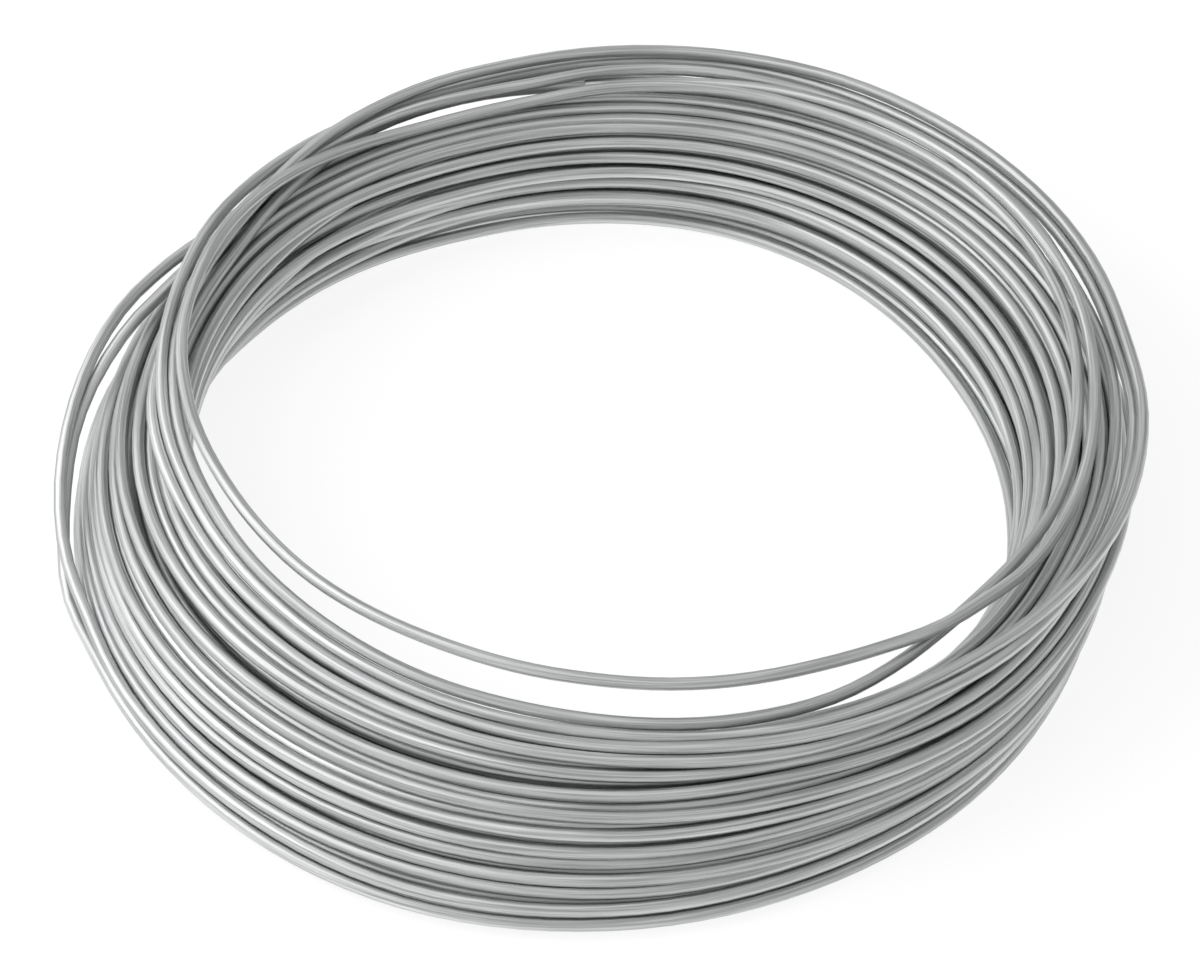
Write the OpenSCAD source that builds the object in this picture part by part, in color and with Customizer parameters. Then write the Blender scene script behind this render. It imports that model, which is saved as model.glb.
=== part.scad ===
// A hand coil of bright drawn wire: one length of wire wound round and round into a
// bundle, lying flat on the floor. The bundle leans, because its tiers of turns have slid
// on each other to the right and to the back, and three turns have slipped loose on top.
// Millimetres, +Z up. The middle of the bundle is on the Z axis and the floor is z = 0.

/* [Wire] */
// Diameter of the wire
wire_d = 3; // [2:0.1:4]
// Gap between neighbouring turns, and between tiers or loose turns and what they lie on
turn_gap = 0.1; // [0.05:0.01:0.3]

/* [Bundle] */
// Outside diameter of the bundle, across the outermost turns of one tier
coil_od = 241; // [200:1:320]
// How far the top tier has slid to the right of the foot
slide_right = 14; // [0:0.5:16]
// How far the top tier has slid to the back of the foot
slide_back = 10; // [0:0.5:16]

/* [Lower loose turn] */
// How much wider it is than the middle of the bundle
lower_turn_slack = 1; // [0:0.5:4]
// How far it has slipped to the right on the top tier
lower_turn_right = 4; // [2:0.5:8]
// How far it has slipped to the back on the top tier
lower_turn_back = 6; // [2:0.5:8]

/* [Middle loose turn] */
// How much narrower it is than the middle of the bundle
middle_turn_pinch = 7; // [5:0.5:9]
// How far it has slipped to the left on the top tier
middle_turn_left = 2; // [0:0.5:6]
// How far it has slipped to the back on the top tier
middle_turn_back = 6; // [5:0.5:9]

/* [Upper loose turn] */
// How much narrower it is than the middle of the bundle
upper_turn_pinch = 14; // [8:0.5:16]
// How far it has slipped to the left on the top tier
upper_turn_left = 2; // [0:0.5:6]
// How far it has slipped to the back on the top tier
upper_turn_back = 13; // [12:0.5:16]

/* [Hidden] */
$fn = 96;

// Turns side by side in each layer of the foot, the middle and the top tier, from below.
// A layer has one turn more or less than the next in its tier, so that their turns nest.
tier_turns = [[6, 5, 6], [7, 6, 7], [7, 6, 5, 4]];
tier_count = len(tier_turns);
top_tier = tier_count - 1;
nest_angle = 60;
middle_share = 0.5;
turn_pitch = wire_d + turn_gap;
layer_pitch = turn_pitch * sin(nest_angle);
widest_layer = max([for (turns = tier_turns) max(turns)]);
bundle_w = (widest_layer - 1) * turn_pitch + wire_d;
mid_d = coil_od - bundle_w;

function tier_h(tier) = (len(tier_turns[tier]) - 1) * layer_pitch + wire_d;

// Height of a tier's underside: each tier lies on the one below
function tier_z(tier) = tier == 0 ? 0 : tier_z(tier - 1) + tier_h(tier - 1) + turn_gap;

// Middle of a tier's underside: the slide grows evenly from the foot to the top
function tier_place(tier) = [
    slide_right * (tier / top_tier - middle_share),
    slide_back * (tier / top_tier - middle_share),
    tier_z(tier)
];

// Radius and height, in its tier, of the middle of one turn, counted outwards in its layer
function turn_at(turns, layer, place) = [
    mid_d / 2 + (place - (turns[layer] - 1) / 2) * turn_pitch,
    wire_d / 2 + layer * layer_pitch
];

// Middle of a loose turn that lies on the top tier, or on another loose turn there
function loose_place(right, back, turns_below) = tier_place(top_tier)
    + [right, back, tier_h(top_tier) + turn_gap + wire_d / 2 + turns_below * turn_pitch];

// Section of the wire at one turn of a tier
module turn_section(turns, layer, place) {
    translate(turn_at(turns, layer, place)) circle(d = wire_d);
}

// The turns that show: all of the lowest and highest layer, and the two ends of the rest
module outer_turns(turns) {
    for (layer = [0 : len(turns) - 1]) {
        last = turns[layer] - 1;
        whole = layer == 0 || layer == len(turns) - 1;
        for (place = [0 : whole ? 1 : last : last]) turn_section(turns, layer, place);
    }
}

// The closely wound inside, out to the middles of the turns that show
module packed_inside(turns) {
    top = len(turns) - 1;
    inner_side = [for (layer = [0 : top]) turn_at(turns, layer, 0)];
    outer_side = [for (layer = [top : -1 : 0]) turn_at(turns, layer, turns[layer] - 1)];
    polygon(concat(inner_side, outer_side));
}

// One tier of the bundle, turned about its own upright axis
module tier_of_turns(turns) {
    rotate_extrude() {
        packed_inside(turns);
        outer_turns(turns);
    }
}

// One round turn lying level
module loose_turn(turn_d) {
    rotate_extrude() translate([turn_d / 2, 0]) circle(d = wire_d);
}

module wire_coil() {
    color([0.62, 0.63, 0.63]) {
        for (tier = [0 : top_tier]) translate(tier_place(tier)) tier_of_turns(tier_turns[tier]);
        translate(loose_place(lower_turn_right, lower_turn_back, 0)) loose_turn(mid_d + lower_turn_slack);
        translate(loose_place(-middle_turn_left, middle_turn_back, 1)) loose_turn(mid_d - middle_turn_pinch);
        translate(loose_place(-upper_turn_left, upper_turn_back, 2)) loose_turn(mid_d - upper_turn_pinch);
    }
}

wire_coil();
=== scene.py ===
"""A loose coil of bright drawn wire: one wire, wound round and round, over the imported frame."""
import math

import bpy
import numpy as np
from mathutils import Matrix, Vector


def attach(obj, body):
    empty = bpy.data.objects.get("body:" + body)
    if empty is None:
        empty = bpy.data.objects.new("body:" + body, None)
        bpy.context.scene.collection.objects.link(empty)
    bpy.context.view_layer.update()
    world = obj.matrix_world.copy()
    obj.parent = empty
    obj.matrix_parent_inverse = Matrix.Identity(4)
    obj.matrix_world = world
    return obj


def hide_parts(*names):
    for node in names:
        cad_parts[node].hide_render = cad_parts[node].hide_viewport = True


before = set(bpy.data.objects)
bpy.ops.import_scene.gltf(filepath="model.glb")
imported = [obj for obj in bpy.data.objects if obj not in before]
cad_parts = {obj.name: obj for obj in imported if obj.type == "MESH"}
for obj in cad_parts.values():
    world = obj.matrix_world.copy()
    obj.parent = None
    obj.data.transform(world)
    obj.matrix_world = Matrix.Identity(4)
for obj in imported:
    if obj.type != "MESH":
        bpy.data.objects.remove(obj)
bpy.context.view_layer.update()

# Wire, in millimetres, and the number of its sides and of the stations round each turn
MM = 0.001
WIRE_D = 3.0
WIRE_SIDES = 12
STATIONS = 120
CUT_END_SHARE = 0.7
CUT_END_LENGTH = 0.4
MAP_MARGIN = 0.08

# Bundle, in millimetres: turns side by side in each layer, from the floor to the top. The
# upper layers have slid to the back and to the right, and are tighter and a little oval.
LAYER_TURNS = (6, 5, 6, 7, 6, 7, 7, 6, 5, 4)
TURN_PITCH = 3.15
LAYER_PITCH = 2.75
FOOT_MIDDLE = (-6.6, -5.2)
FOOT_RADIUS = 110.5
TOP_MIDDLE = (4.0, 5.0)
TOP_RADIUS = 106.5
TOP_OVAL = 3.0

# Where the bundle is out of round: the middle and half width of each place in degrees, and how
# far the foot and the top are pushed out there
HUMPS = (
    (68, 50, 2.5, 0.0),
    (168, 28, 1.5, -0.5),
    (315, 28, 0.0, 2.5),
)

# Where each turn moves over to the place of the next one: the last share of the way round
TURN_START_DEG = 150
MOVE_SHARE = 0.12

# How far the turns wander from even layers, in millimetres, and over how many stations
WANDER = 0.95
WANDER_UP_SHARE = 0.7
WANDER_LOOSE_SHARE = 0.15
WANDER_SPAN = 26
WANDER_REACH_SPANS = 3
SEED = 7

# Settling: the turns are pushed apart until they hardly overlap, first held near to where they
# were laid and then free, and each bends only gently
CLEARANCE = 3.06
HELD_STEPS = 250
HELD_PULL = 0.01
HELD_SMOOTHING = 2
FREE_STEPS = 350
FREE_PULL = 0.0
FREE_SMOOTHING = 1
SMOOTHING_MIDDLE_SHARE = 0.5
SMOOTHING_SIDE_SHARE = 0.25
PUSH = 0.8
LEAST_GAP = 0.05

# Loose turns from the lowest to the highest, as knots of degrees from the right, radius and height
LOOSE_TURNS = (
    # Two run low round the front and right, climb the back and cross over at the left
    ((0, 115.5, 5.5), (30, 123, 14), (60, 126, 22), (85, 123, 25), (105, 122.5, 24.5),
     (117, 121, 24.5), (132, 118.5, 26.5), (148, 117, 29), (154, 119, 29.5), (162, 122.5, 29),
     (172, 126, 24.5), (182, 128, 18), (190, 128, 12), (200, 125.5, 8), (225, 125, 6),
     (247, 126, 6), (270, 123.5, 6), (300, 118.5, 6), (330, 115.5, 5)),
    ((0, 115.5, 2), (30, 120, 13), (60, 121, 24), (85, 118, 26.5), (105, 120, 26.5),
     (117, 118.5, 27.5), (132, 115, 28.5), (148, 112, 30), (157, 114.5, 29.5), (163, 118.5, 28),
     (168, 122, 25), (172, 124.5, 22), (177, 126.5, 18.5), (182, 127.5, 15), (187, 128.5, 11),
     (194, 129.5, 6), (203, 127.5, 4), (218, 127, 3), (247, 128, 3), (270, 125.5, 3),
     (300, 121, 3), (330, 116.5, 2)),
    # Three hang over the back and the right, and lie on the front
    ((0, 118, 29), (12, 120, 28.5), (18, 120, 29), (25, 120, 30), (33, 121.5, 30.5),
     (45, 122, 30.5), (60, 122, 31), (78, 120, 32), (90, 117, 32.5), (100, 113.5, 33),
     (118, 113, 33), (135, 109, 32), (148, 106.5, 31), (160, 105.5, 31), (180, 105.5, 30),
     (200, 103, 29), (225, 100, 29), (250, 99, 29), (275, 101, 29), (300, 108, 29),
     (330, 113, 30)),
    ((0, 121.5, 31), (12, 121.5, 31), (24, 123.5, 31), (36, 125, 31), (60, 125.5, 31),
     (75, 125, 31), (90, 122.5, 31), (105, 119.5, 31), (117, 118, 31.5), (135, 114, 33),
     (148, 109.5, 32.5), (160, 107.5, 32), (180, 105.5, 31), (200, 100, 30), (225, 96, 30),
     (250, 95.5, 30), (275, 98.5, 30), (300, 106.5, 31), (330, 115, 31)),
    ((0, 123.5, 33), (12, 123.5, 33), (24, 125.5, 33), (36, 126.5, 33.5), (60, 127, 33.5),
     (75, 125.5, 33.5), (90, 123, 33.5), (105, 119.5, 33.5), (117, 118.5, 33), (131, 116.5, 34),
     (148, 112.5, 35.5), (165, 108, 33), (180, 103.5, 32), (200, 97.5, 32), (225, 93.5, 31.5),
     (250, 93, 31), (268, 94.5, 31), (285, 99, 31), (300, 105, 32), (315, 110, 33), (330, 116, 33),
     (345, 121, 33)),
    # One lies on top and joins the front, and the last crosses it and the front of the eye
    ((0, 108.5, 33.5), (20, 113.5, 34), (40, 116, 34), (60, 115, 34), (75, 113.5, 34),
     (90, 111, 33.5), (100, 110, 31.5), (108, 109.5, 31), (118, 109.5, 30.5), (132, 109, 32.5),
     (148, 107.5, 34.5), (165, 105.5, 34), (180, 101, 34), (190, 98, 34), (200, 95.5, 34.5),
     (225, 91.5, 33.5), (250, 90, 32), (262, 91, 32), (275, 93.5, 32), (288, 96, 32),
     (300, 98.5, 32.5), (310, 99, 33), (318, 99, 33), (326, 100, 33), (335, 102.5, 33),
     (345, 105.5, 33)),
    ((0, 112, 36), (20, 116, 36), (40, 117.5, 36), (55, 117, 35.5), (70, 116, 33.5),
     (82, 115.5, 31), (95, 115, 29.5), (120, 114, 33), (148, 109, 37.5), (165, 104.5, 36.5),
     (180, 98, 36.5), (197, 91, 36.5), (214, 86.5, 36.5), (240, 82, 36.5), (262, 82.5, 36.5),
     (277, 85, 36.5), (298, 90.5, 36.5), (309, 95, 36.5), (317, 99.5, 36.5), (324, 102.5, 36.5),
     (333, 106.5, 36), (345, 109.5, 36)),
)
# How many stations short of a full turn the wire ends, where its end is tucked under other turns
TAIL_STATIONS = 18

# Finish of the wire: its fine draw lines and duller patches, as scales along and round the wire,
# with the brightness and roughness that each gives from its lows to its highs, and the depth of
# the lines in millimetres
BASE_TINT = (0.985, 1.0, 1.0)
NOISE_DETAIL = 2.0
NOISE_LOW = 0.3
NOISE_HIGH = 0.7
LINE_SCALE = (35.0, 3.5, 3.5)
LINE_TONES = (0.7, 1.3)
LINE_ROUGHNESS = (-0.1, 0.1)
LINE_BUMP = 0.6
LINE_DEPTH = 0.1
PATCH_SCALE = (7.0, 0.6, 0.6)
PATCH_TONES = (0.55, 0.69)
PATCH_ROUGHNESS = (0.54, 0.44)

# Floor and light: the floor's size in metres, where the soft sky is brightest, and the place, size
# and power of each lamp
FLOOR_REACH = 4.0
FLOOR_GREY = 0.26
FLOOR_ROUGHNESS = 0.9
FLOOR_GLOW = 0.82
SKY_FROM = (-0.8, 0.0, 0.5)
SKY_LOW = 0.31
SKY_HIGH = 0.78
LAMPS = (
    ("key", (-0.72, 0.04, 0.70), 0.9, 3.7),
)

# Camera: its distance and the point aimed at in millimetres, and the picture's scale there
PICTURE_WIDTH = 1200
SENSOR_WIDTH = 36.0
CAMERA_ELEVATION_DEG = 47.5
CAMERA_DISTANCE = 1200.0
CAMERA_AIM = (-2.4, -6.3, 15.0)
PIXELS_PER_MM = 4.27

angles = math.radians(TURN_START_DEG) + 2 * math.pi * np.arange(STATIONS) / STATIONS


def bundle_turn(level, offset):
    """Radius of one turn of the bundle at each station, from level 0, the foot, to 1, the top."""
    across = FOOT_MIDDLE[0] + (TOP_MIDDLE[0] - FOOT_MIDDLE[0]) * level
    back = FOOT_MIDDLE[1] + (TOP_MIDDLE[1] - FOOT_MIDDLE[1]) * level
    radius = FOOT_RADIUS + (TOP_RADIUS - FOOT_RADIUS) * level + offset
    lean = across * np.cos(angles) + back * np.sin(angles)
    radius += lean + TOP_OVAL * level * np.cos(2 * angles)
    for middle_deg, half_deg, at_foot, at_top in HUMPS:
        away = (np.degrees(angles) - middle_deg + 180) % 360 - 180
        hump = np.cos(np.clip(away / half_deg, -1, 1) * math.pi / 2) ** 2
        radius += hump * (at_foot + (at_top - at_foot) * level)
    return radius


def knotted_turn(knots):
    """Radius and height, at each station, of a smooth closed curve through the given knots."""
    full = 2 * math.pi
    at = np.radians([knot[0] for knot in knots])
    values = np.array([knot[1:] for knot in knots], float)
    place = angles % full
    here = (np.searchsorted(at, place, side="right") - 1) % len(at)
    before = (here - 1) % len(at)
    after = (here + 1) % len(at)
    beyond = (here + 2) % len(at)
    span = (at[after] - at[here]) % full
    share = (((place - at[here]) % full) / span)[:, None]
    span_here = (span / ((at[after] - at[before]) % full))[:, None]
    span_after = (span / ((at[beyond] - at[here]) % full))[:, None]
    slope_here = (values[after] - values[before]) * span_here
    slope_after = (values[beyond] - values[here]) * span_after
    ease = share * share * (3 - 2 * share)
    curve = values[here] * (1 - ease) + values[after] * ease
    curve += share * (1 - share) * ((1 - share) * slope_here - share * slope_after)
    return curve[:, 0], curve[:, 1]


def laid_turns():
    """Radius and height of every turn, one row each, before the turns settle."""
    rows = []
    for layer, count in enumerate(LAYER_TURNS):
        height = np.full(STATIONS, WIRE_D / 2 + layer * LAYER_PITCH)
        inwards = layer % 2 == 0
        for step in range(count):
            place = count - 1 - step if inwards else step
            offset = (place - (count - 1) / 2) * TURN_PITCH
            rows.append((bundle_turn(layer / (len(LAYER_TURNS) - 1), offset), height))
    rows += [knotted_turn(knots) for knots in LOOSE_TURNS + LOOSE_TURNS[-1:]]
    share = np.clip(1 - (1 - np.arange(STATIONS) / STATIONS) / MOVE_SHARE, 0, 1)
    ease = share * share * (3 - 2 * share)
    turns = np.array(rows)
    return turns[:-1] * (1 - ease) + turns[1:] * ease


def wander(rng, count):
    """Smooth noise along the wire, with a spread of one."""
    reach = WANDER_REACH_SPANS * WANDER_SPAN
    bell = np.exp(-0.5 * (np.arange(-reach, reach + 1) / WANDER_SPAN) ** 2)
    noise = np.convolve(rng.standard_normal(count + 2 * reach), bell, mode="valid")
    return noise / noise.std()


def smoothed(rows):
    """One round of smoothing along the wire, whose turns follow each other row by row."""
    line = rows.reshape(-1)
    out = line.copy()
    sides = SMOOTHING_SIDE_SHARE * line[:-2], SMOOTHING_SIDE_SHARE * line[2:]
    out[1:-1] = sides[0] + SMOOTHING_MIDDLE_SHARE * line[1:-1] + sides[1]
    return out.reshape(rows.shape)


def settle(aim, steps, pull, smoothing):
    """Pushes the turns apart, station by station, and pulls them back towards their aim."""
    place = aim.copy()
    for _ in range(steps):
        apart = place[:, None] - place[None]
        gap = np.sqrt((apart ** 2).sum(axis=-2))
        np.einsum("iik->ik", gap)[...] = np.inf
        lap = np.maximum(CLEARANCE - gap, 0)
        touching = (lap > 0).sum(axis=1)
        push = (apart * (lap / np.maximum(gap, LEAST_GAP))[:, :, None]).sum(axis=1)
        place += push * (PUSH / np.sqrt(touching + 1))[:, None]
        place += pull * (aim - place)
        off = place - aim
        for _ in range(smoothing):
            off[:, 0] = smoothed(off[:, 0])
            off[:, 1] = smoothed(off[:, 1])
        place = aim + off
        place[:, 1] = np.maximum(place[:, 1], WIRE_D / 2)
    return place


def wire_path():
    """Points along the middle of the wire, from its first end to its last, in millimetres."""
    rng = np.random.default_rng(SEED)
    turns = laid_turns().astype(np.float32)
    count = len(turns)
    loose = np.arange(count) >= sum(LAYER_TURNS)
    amount = np.where(loose, WANDER_LOOSE_SHARE * WANDER, WANDER)[:, None]
    sideways = wander(rng, count * STATIONS).reshape(count, STATIONS)
    upwards = wander(rng, count * STATIONS).reshape(count, STATIONS)
    turns[:, 0] += amount * sideways
    turns[:, 1] += WANDER_UP_SHARE * amount * upwards
    # The stations past the wire's end wait in the middle of the eye, clear of every turn
    turns[-1, :, -TAIL_STATIONS:] = 0
    turns = settle(turns, HELD_STEPS, HELD_PULL, HELD_SMOOTHING)
    turns = settle(turns, FREE_STEPS, FREE_PULL, FREE_SMOOTHING)
    radius, height = turns[:, 0], turns[:, 1]
    points = np.stack([radius * np.cos(angles), radius * np.sin(angles), height], axis=-1)
    return points.reshape(-1, 3)[:-TAIL_STATIONS].astype(float)


def unit(vectors):
    return vectors / np.linalg.norm(vectors, axis=-1, keepdims=True)


def unrolled(count, caps):
    """Bake map: the wire lies in rows, one for each turn, with a little space between rows."""
    step = np.arange(count - 1)
    rows = math.ceil((count - 1) / STATIONS)
    left = (step % STATIONS)[:, None] / STATIONS
    low = (step // STATIONS)[:, None] + MAP_MARGIN
    side = np.arange(WIRE_SIDES + 1) / WIRE_SIDES * (1 - 2 * MAP_MARGIN)
    uv = np.empty((count - 1, WIRE_SIDES, 4, 2), np.float32)
    uv[..., 0] = (left + np.array([0, 0, 1, 1]) / STATIONS)[:, None]
    corners = np.stack([side[:-1], side[1:], side[1:], side[:-1]], axis=-1)
    uv[..., 1] = (low[..., None] + corners) / rows
    return np.vstack([uv.reshape(-1, 2), np.zeros((caps * WIRE_SIDES, 2), np.float32)])


def wire_mesh(points):
    """A tube along the points, with cut ends, a bake map and coordinates for its draw lines."""
    along = unit(np.gradient(points, axis=0))
    side = unit(np.cross(along, (0.0, 0.0, 1.0)))
    up = np.cross(side, along)
    first_end = points[:1] - along[:1] * CUT_END_LENGTH
    last_end = points[-1:] + along[-1:] * CUT_END_LENGTH
    points = np.vstack([first_end, points, last_end])
    side = np.vstack([side[:1], side, side[-1:]])
    up = np.vstack([up[:1], up, up[-1:]])
    thick = np.full(len(points), WIRE_D / 2)
    thick[[0, -1]] *= CUT_END_SHARE
    around = 2 * math.pi * np.arange(WIRE_SIDES) / WIRE_SIDES
    spokes = side[:, None] * np.cos(around)[:, None] + up[:, None] * np.sin(around)[:, None]
    rings = points[:, None] + spokes * thick[:, None, None]
    count = len(points)
    first = np.arange(count - 1)[:, None] * WIRE_SIDES
    here = first + np.arange(WIRE_SIDES)
    beside = first + (np.arange(WIRE_SIDES) + 1) % WIRE_SIDES
    quads = np.stack([here, beside, beside + WIRE_SIDES, here + WIRE_SIDES], axis=-1)
    last = (count - 1) * WIRE_SIDES
    caps = [list(range(WIRE_SIDES))[::-1], list(range(last, last + WIRE_SIDES))]
    mesh = bpy.data.meshes.new("wire")
    mesh.from_pydata((rings.reshape(-1, 3) * MM).tolist(), [], quads.reshape(-1, 4).tolist() + caps)
    sides = len(mesh.polygons) - len(caps)
    mesh.polygons.foreach_set("use_smooth", [True] * sides + [False] * len(caps))
    steps = np.linalg.norm(np.diff(points, axis=0), axis=1)
    length = np.concatenate([[0.0], np.cumsum(steps)]) * MM
    draw = np.empty((count, WIRE_SIDES, 3), np.float32)
    draw[..., 0] = length[:, None]
    draw[..., 1] = np.cos(around)
    draw[..., 2] = np.sin(around)
    mesh.attributes.new("draw", "FLOAT_VECTOR", "POINT").data.foreach_set("vector", draw.ravel())
    mesh.uv_layers.new(name="OFBake").data.foreach_set("uv", unrolled(count, len(caps)).ravel())
    mesh.update()
    return mesh


def wire_material():
    """Bright drawn wire: satin metal with fine draw lines along it and duller patches."""
    material = bpy.data.materials.new("bright_drawn_wire")
    material.use_nodes = True
    nodes, links = material.node_tree.nodes, material.node_tree.links
    shader = nodes["Principled BSDF"]
    shader.inputs["Metallic"].default_value = 1.0
    draw = nodes.new("ShaderNodeAttribute")
    draw.attribute_name = "draw"

    def noise(scale):
        mapping = nodes.new("ShaderNodeMapping")
        mapping.inputs["Scale"].default_value = scale
        texture = nodes.new("ShaderNodeTexNoise")
        texture.inputs["Scale"].default_value = 1.0
        texture.inputs["Detail"].default_value = NOISE_DETAIL
        links.new(draw.outputs["Vector"], mapping.inputs["Vector"])
        links.new(mapping.outputs["Vector"], texture.inputs["Vector"])
        return texture.outputs["Fac"]

    def ramp(factor, ends):
        node = nodes.new("ShaderNodeMapRange")
        node.inputs["From Min"].default_value = NOISE_LOW
        node.inputs["From Max"].default_value = NOISE_HIGH
        node.inputs["To Min"].default_value = ends[0]
        node.inputs["To Max"].default_value = ends[1]
        links.new(factor, node.inputs["Value"])
        return node.outputs["Result"]

    def combined(operation, first, second):
        node = nodes.new("ShaderNodeMath")
        node.operation = operation
        links.new(first, node.inputs[0])
        links.new(second, node.inputs[1])
        return node.outputs["Value"]

    lines = noise(LINE_SCALE)
    patches = noise(PATCH_SCALE)
    colour = nodes.new("ShaderNodeVectorMath")
    colour.operation = "SCALE"
    colour.inputs["Vector"].default_value = BASE_TINT
    tone = combined("MULTIPLY", ramp(lines, LINE_TONES), ramp(patches, PATCH_TONES))
    links.new(tone, colour.inputs["Scale"])
    links.new(colour.outputs["Vector"], shader.inputs["Base Color"])
    rough = combined("ADD", ramp(lines, LINE_ROUGHNESS), ramp(patches, PATCH_ROUGHNESS))
    links.new(rough, shader.inputs["Roughness"])
    bump = nodes.new("ShaderNodeBump")
    bump.inputs["Strength"].default_value = LINE_BUMP
    bump.inputs["Distance"].default_value = LINE_DEPTH * MM
    links.new(lines, bump.inputs["Height"])
    links.new(bump.outputs["Normal"], shader.inputs["Normal"])
    return material


def make_wire():
    points = wire_path()
    wire = bpy.data.objects.new("wire", wire_mesh(points))
    bpy.context.scene.collection.objects.link(wire)
    wire.data.materials.append(wire_material())
    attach(wire, "root")
    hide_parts("wire_coil")


def make_floor():
    near, far = -FLOOR_REACH, FLOOR_REACH
    mesh = bpy.data.meshes.new("floor")
    corners = [(near, near, 0), (far, near, 0), (far, far, 0), (near, far, 0)]
    mesh.from_pydata(corners, [], [(0, 1, 2, 3)])
    floor = bpy.data.objects.new("floor", mesh)
    bpy.context.scene.collection.objects.link(floor)
    material = bpy.data.materials.new("pale_floor")
    material.use_nodes = True
    nodes, links = material.node_tree.nodes, material.node_tree.links
    shader = nodes["Principled BSDF"]
    shader.inputs["Base Color"].default_value = (FLOOR_GREY, FLOOR_GREY, FLOOR_GREY, 1.0)
    shader.inputs["Roughness"].default_value = FLOOR_ROUGHNESS
    shader.inputs["Specular IOR Level"].default_value = 0.0
    shader.inputs["Emission Color"].default_value = (1.0, 1.0, 1.0, 1.0)
    path = nodes.new("ShaderNodeLightPath")
    seen = path.outputs["Is Camera Ray"]
    for name in ("Is Glossy Ray", "Is Transmission Ray"):
        either = nodes.new("ShaderNodeMath")
        either.operation = "MAXIMUM"
        links.new(seen, either.inputs[0])
        links.new(path.outputs[name], either.inputs[1])
        seen = either.outputs["Value"]
    glow = nodes.new("ShaderNodeMath")
    glow.operation = "MULTIPLY"
    glow.inputs[1].default_value = FLOOR_GLOW
    links.new(seen, glow.inputs[0])
    links.new(glow.outputs["Value"], shader.inputs["Emission Strength"])
    mesh.materials.append(material)


def make_light():
    world = bpy.data.worlds.new("studio")
    bpy.context.scene.world = world
    world.use_nodes = True
    nodes, links = world.node_tree.nodes, world.node_tree.links
    background = nodes["Background"]
    background.inputs["Color"].default_value = (1.0, 1.0, 1.0, 1.0)
    coordinates = nodes.new("ShaderNodeTexCoord")
    towards = nodes.new("ShaderNodeVectorMath")
    towards.operation = "DOT_PRODUCT"
    towards.inputs[1].default_value = SKY_FROM
    links.new(coordinates.outputs["Generated"], towards.inputs[0])
    fade = nodes.new("ShaderNodeMapRange")
    fade.inputs["From Min"].default_value = -1.0
    fade.inputs["To Min"].default_value = SKY_LOW
    fade.inputs["To Max"].default_value = SKY_HIGH
    links.new(towards.outputs["Value"], fade.inputs["Value"])
    links.new(fade.outputs["Result"], background.inputs["Strength"])
    for lamp in LAMPS:
        add_area(*lamp)


def add_area(name, place, size, energy):
    data = bpy.data.lights.new(name, "AREA")
    data.shape = "DISK"
    data.size = size
    data.energy = energy
    lamp = bpy.data.objects.new(name, data)
    lamp.location = place
    lamp.rotation_euler = (-Vector(place)).to_track_quat("-Z", "Y").to_euler()
    bpy.context.scene.collection.objects.link(lamp)


def make_camera():
    data = bpy.data.cameras.new("camera")
    data.sensor_fit = "HORIZONTAL"
    data.sensor_width = SENSOR_WIDTH
    data.lens = SENSOR_WIDTH * PIXELS_PER_MM * CAMERA_DISTANCE / PICTURE_WIDTH
    camera = bpy.data.objects.new("camera", data)
    tilt = math.radians(CAMERA_ELEVATION_DEG)
    back = Vector((0.0, -math.cos(tilt), math.sin(tilt)))
    camera.location = (Vector(CAMERA_AIM) + back * CAMERA_DISTANCE) * MM
    camera.rotation_euler = (-back).to_track_quat("-Z", "Y").to_euler()
    bpy.context.scene.collection.objects.link(camera)
    bpy.context.scene.camera = camera


bpy.context.scene.view_settings.view_transform = "Standard"
make_camera()
make_wire()
make_floor()
make_light()
